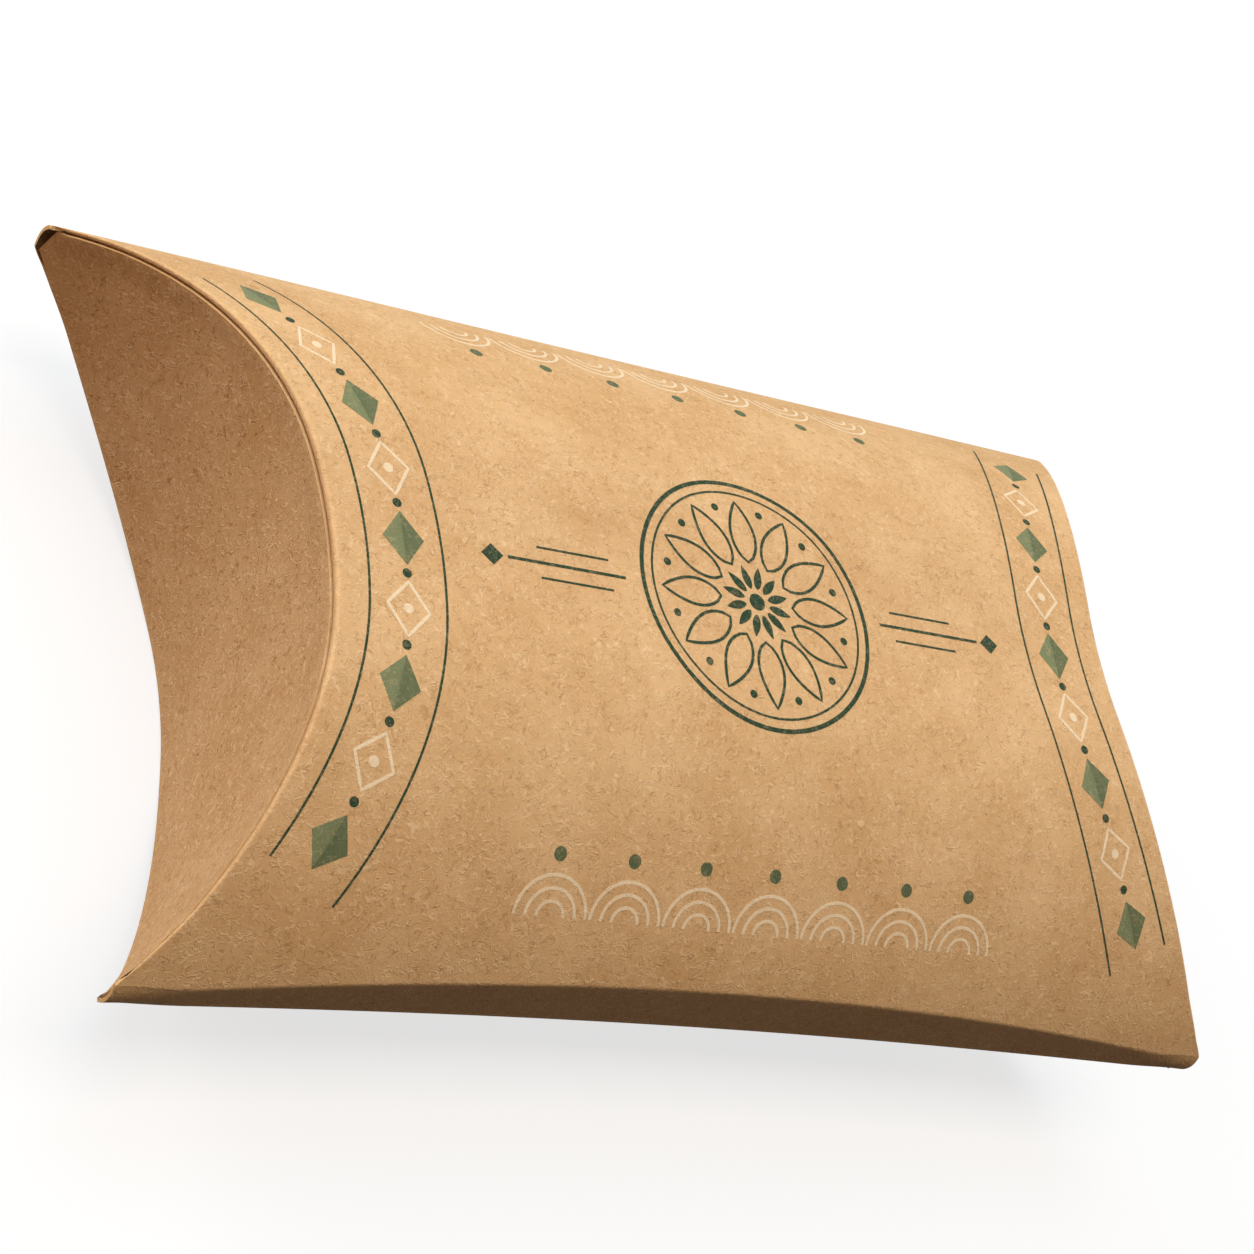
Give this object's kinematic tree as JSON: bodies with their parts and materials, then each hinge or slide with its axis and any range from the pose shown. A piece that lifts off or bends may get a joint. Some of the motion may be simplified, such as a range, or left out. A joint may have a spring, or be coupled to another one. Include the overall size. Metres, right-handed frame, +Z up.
{
  "type": "pillow box",
  "caption": "Pillow-shaped gift box of creased kraft board with arched front and back panels, narrow curved sides, a glued seam and curved end flaps that open outward.",
  "frame": {"origin": "on the resting surface under the middle of the box, which lies on the flat crown of its back panel", "axes": "+X along the box, +Y across it towards the glued long edge, +Z up, out of the front panel"},
  "size_m": [0.15, 0.09, 0.04],
  "materials": {
    "kraft": "matte",
    "adhesive": "satin"
  },
  "bodies": {
    "box": {"front_panel": "kraft", "back_panel": "kraft", "upper_side": "kraft", "lower_side": "kraft", "glue_flap": "kraft", "glue_line": "adhesive"},
    "left_outer": {"left_outer_flap": "kraft"},
    "left_inner": {"left_inner_flap": "kraft"},
    "right_outer": {"right_outer_flap": "kraft"},
    "right_inner": {"right_inner_flap": "kraft"}
  },
  "joints": [
    {"name": "left_outer_hinge", "type": "hinge", "parent": "box", "child": "left_outer", "pos_m": [-0.05502, 0, 0.00045], "axis": [0, -1, 0], "range_deg": [0, 40]},
    {"name": "left_inner_hinge", "type": "hinge", "parent": "box", "child": "left_inner", "pos_m": [-0.05428, 0, 0.03955], "axis": [0, 1, 0], "range_deg": [0, 30]},
    {"name": "right_outer_hinge", "type": "hinge", "parent": "box", "child": "right_outer", "pos_m": [0.05502, 0, 0.00045], "axis": [0, 1, 0], "range_deg": [0, 40]},
    {"name": "right_inner_hinge", "type": "hinge", "parent": "box", "child": "right_inner", "pos_m": [0.05428, 0, 0.03955], "axis": [0, -1, 0], "range_deg": [0, 30]}
  ],
  "couplings": [
    {"joint": "left_inner_hinge", "follows": "left_outer_hinge", "ratio": 0.5},
    {"joint": "right_inner_hinge", "follows": "right_outer_hinge", "ratio": 0.5}
  ]
}
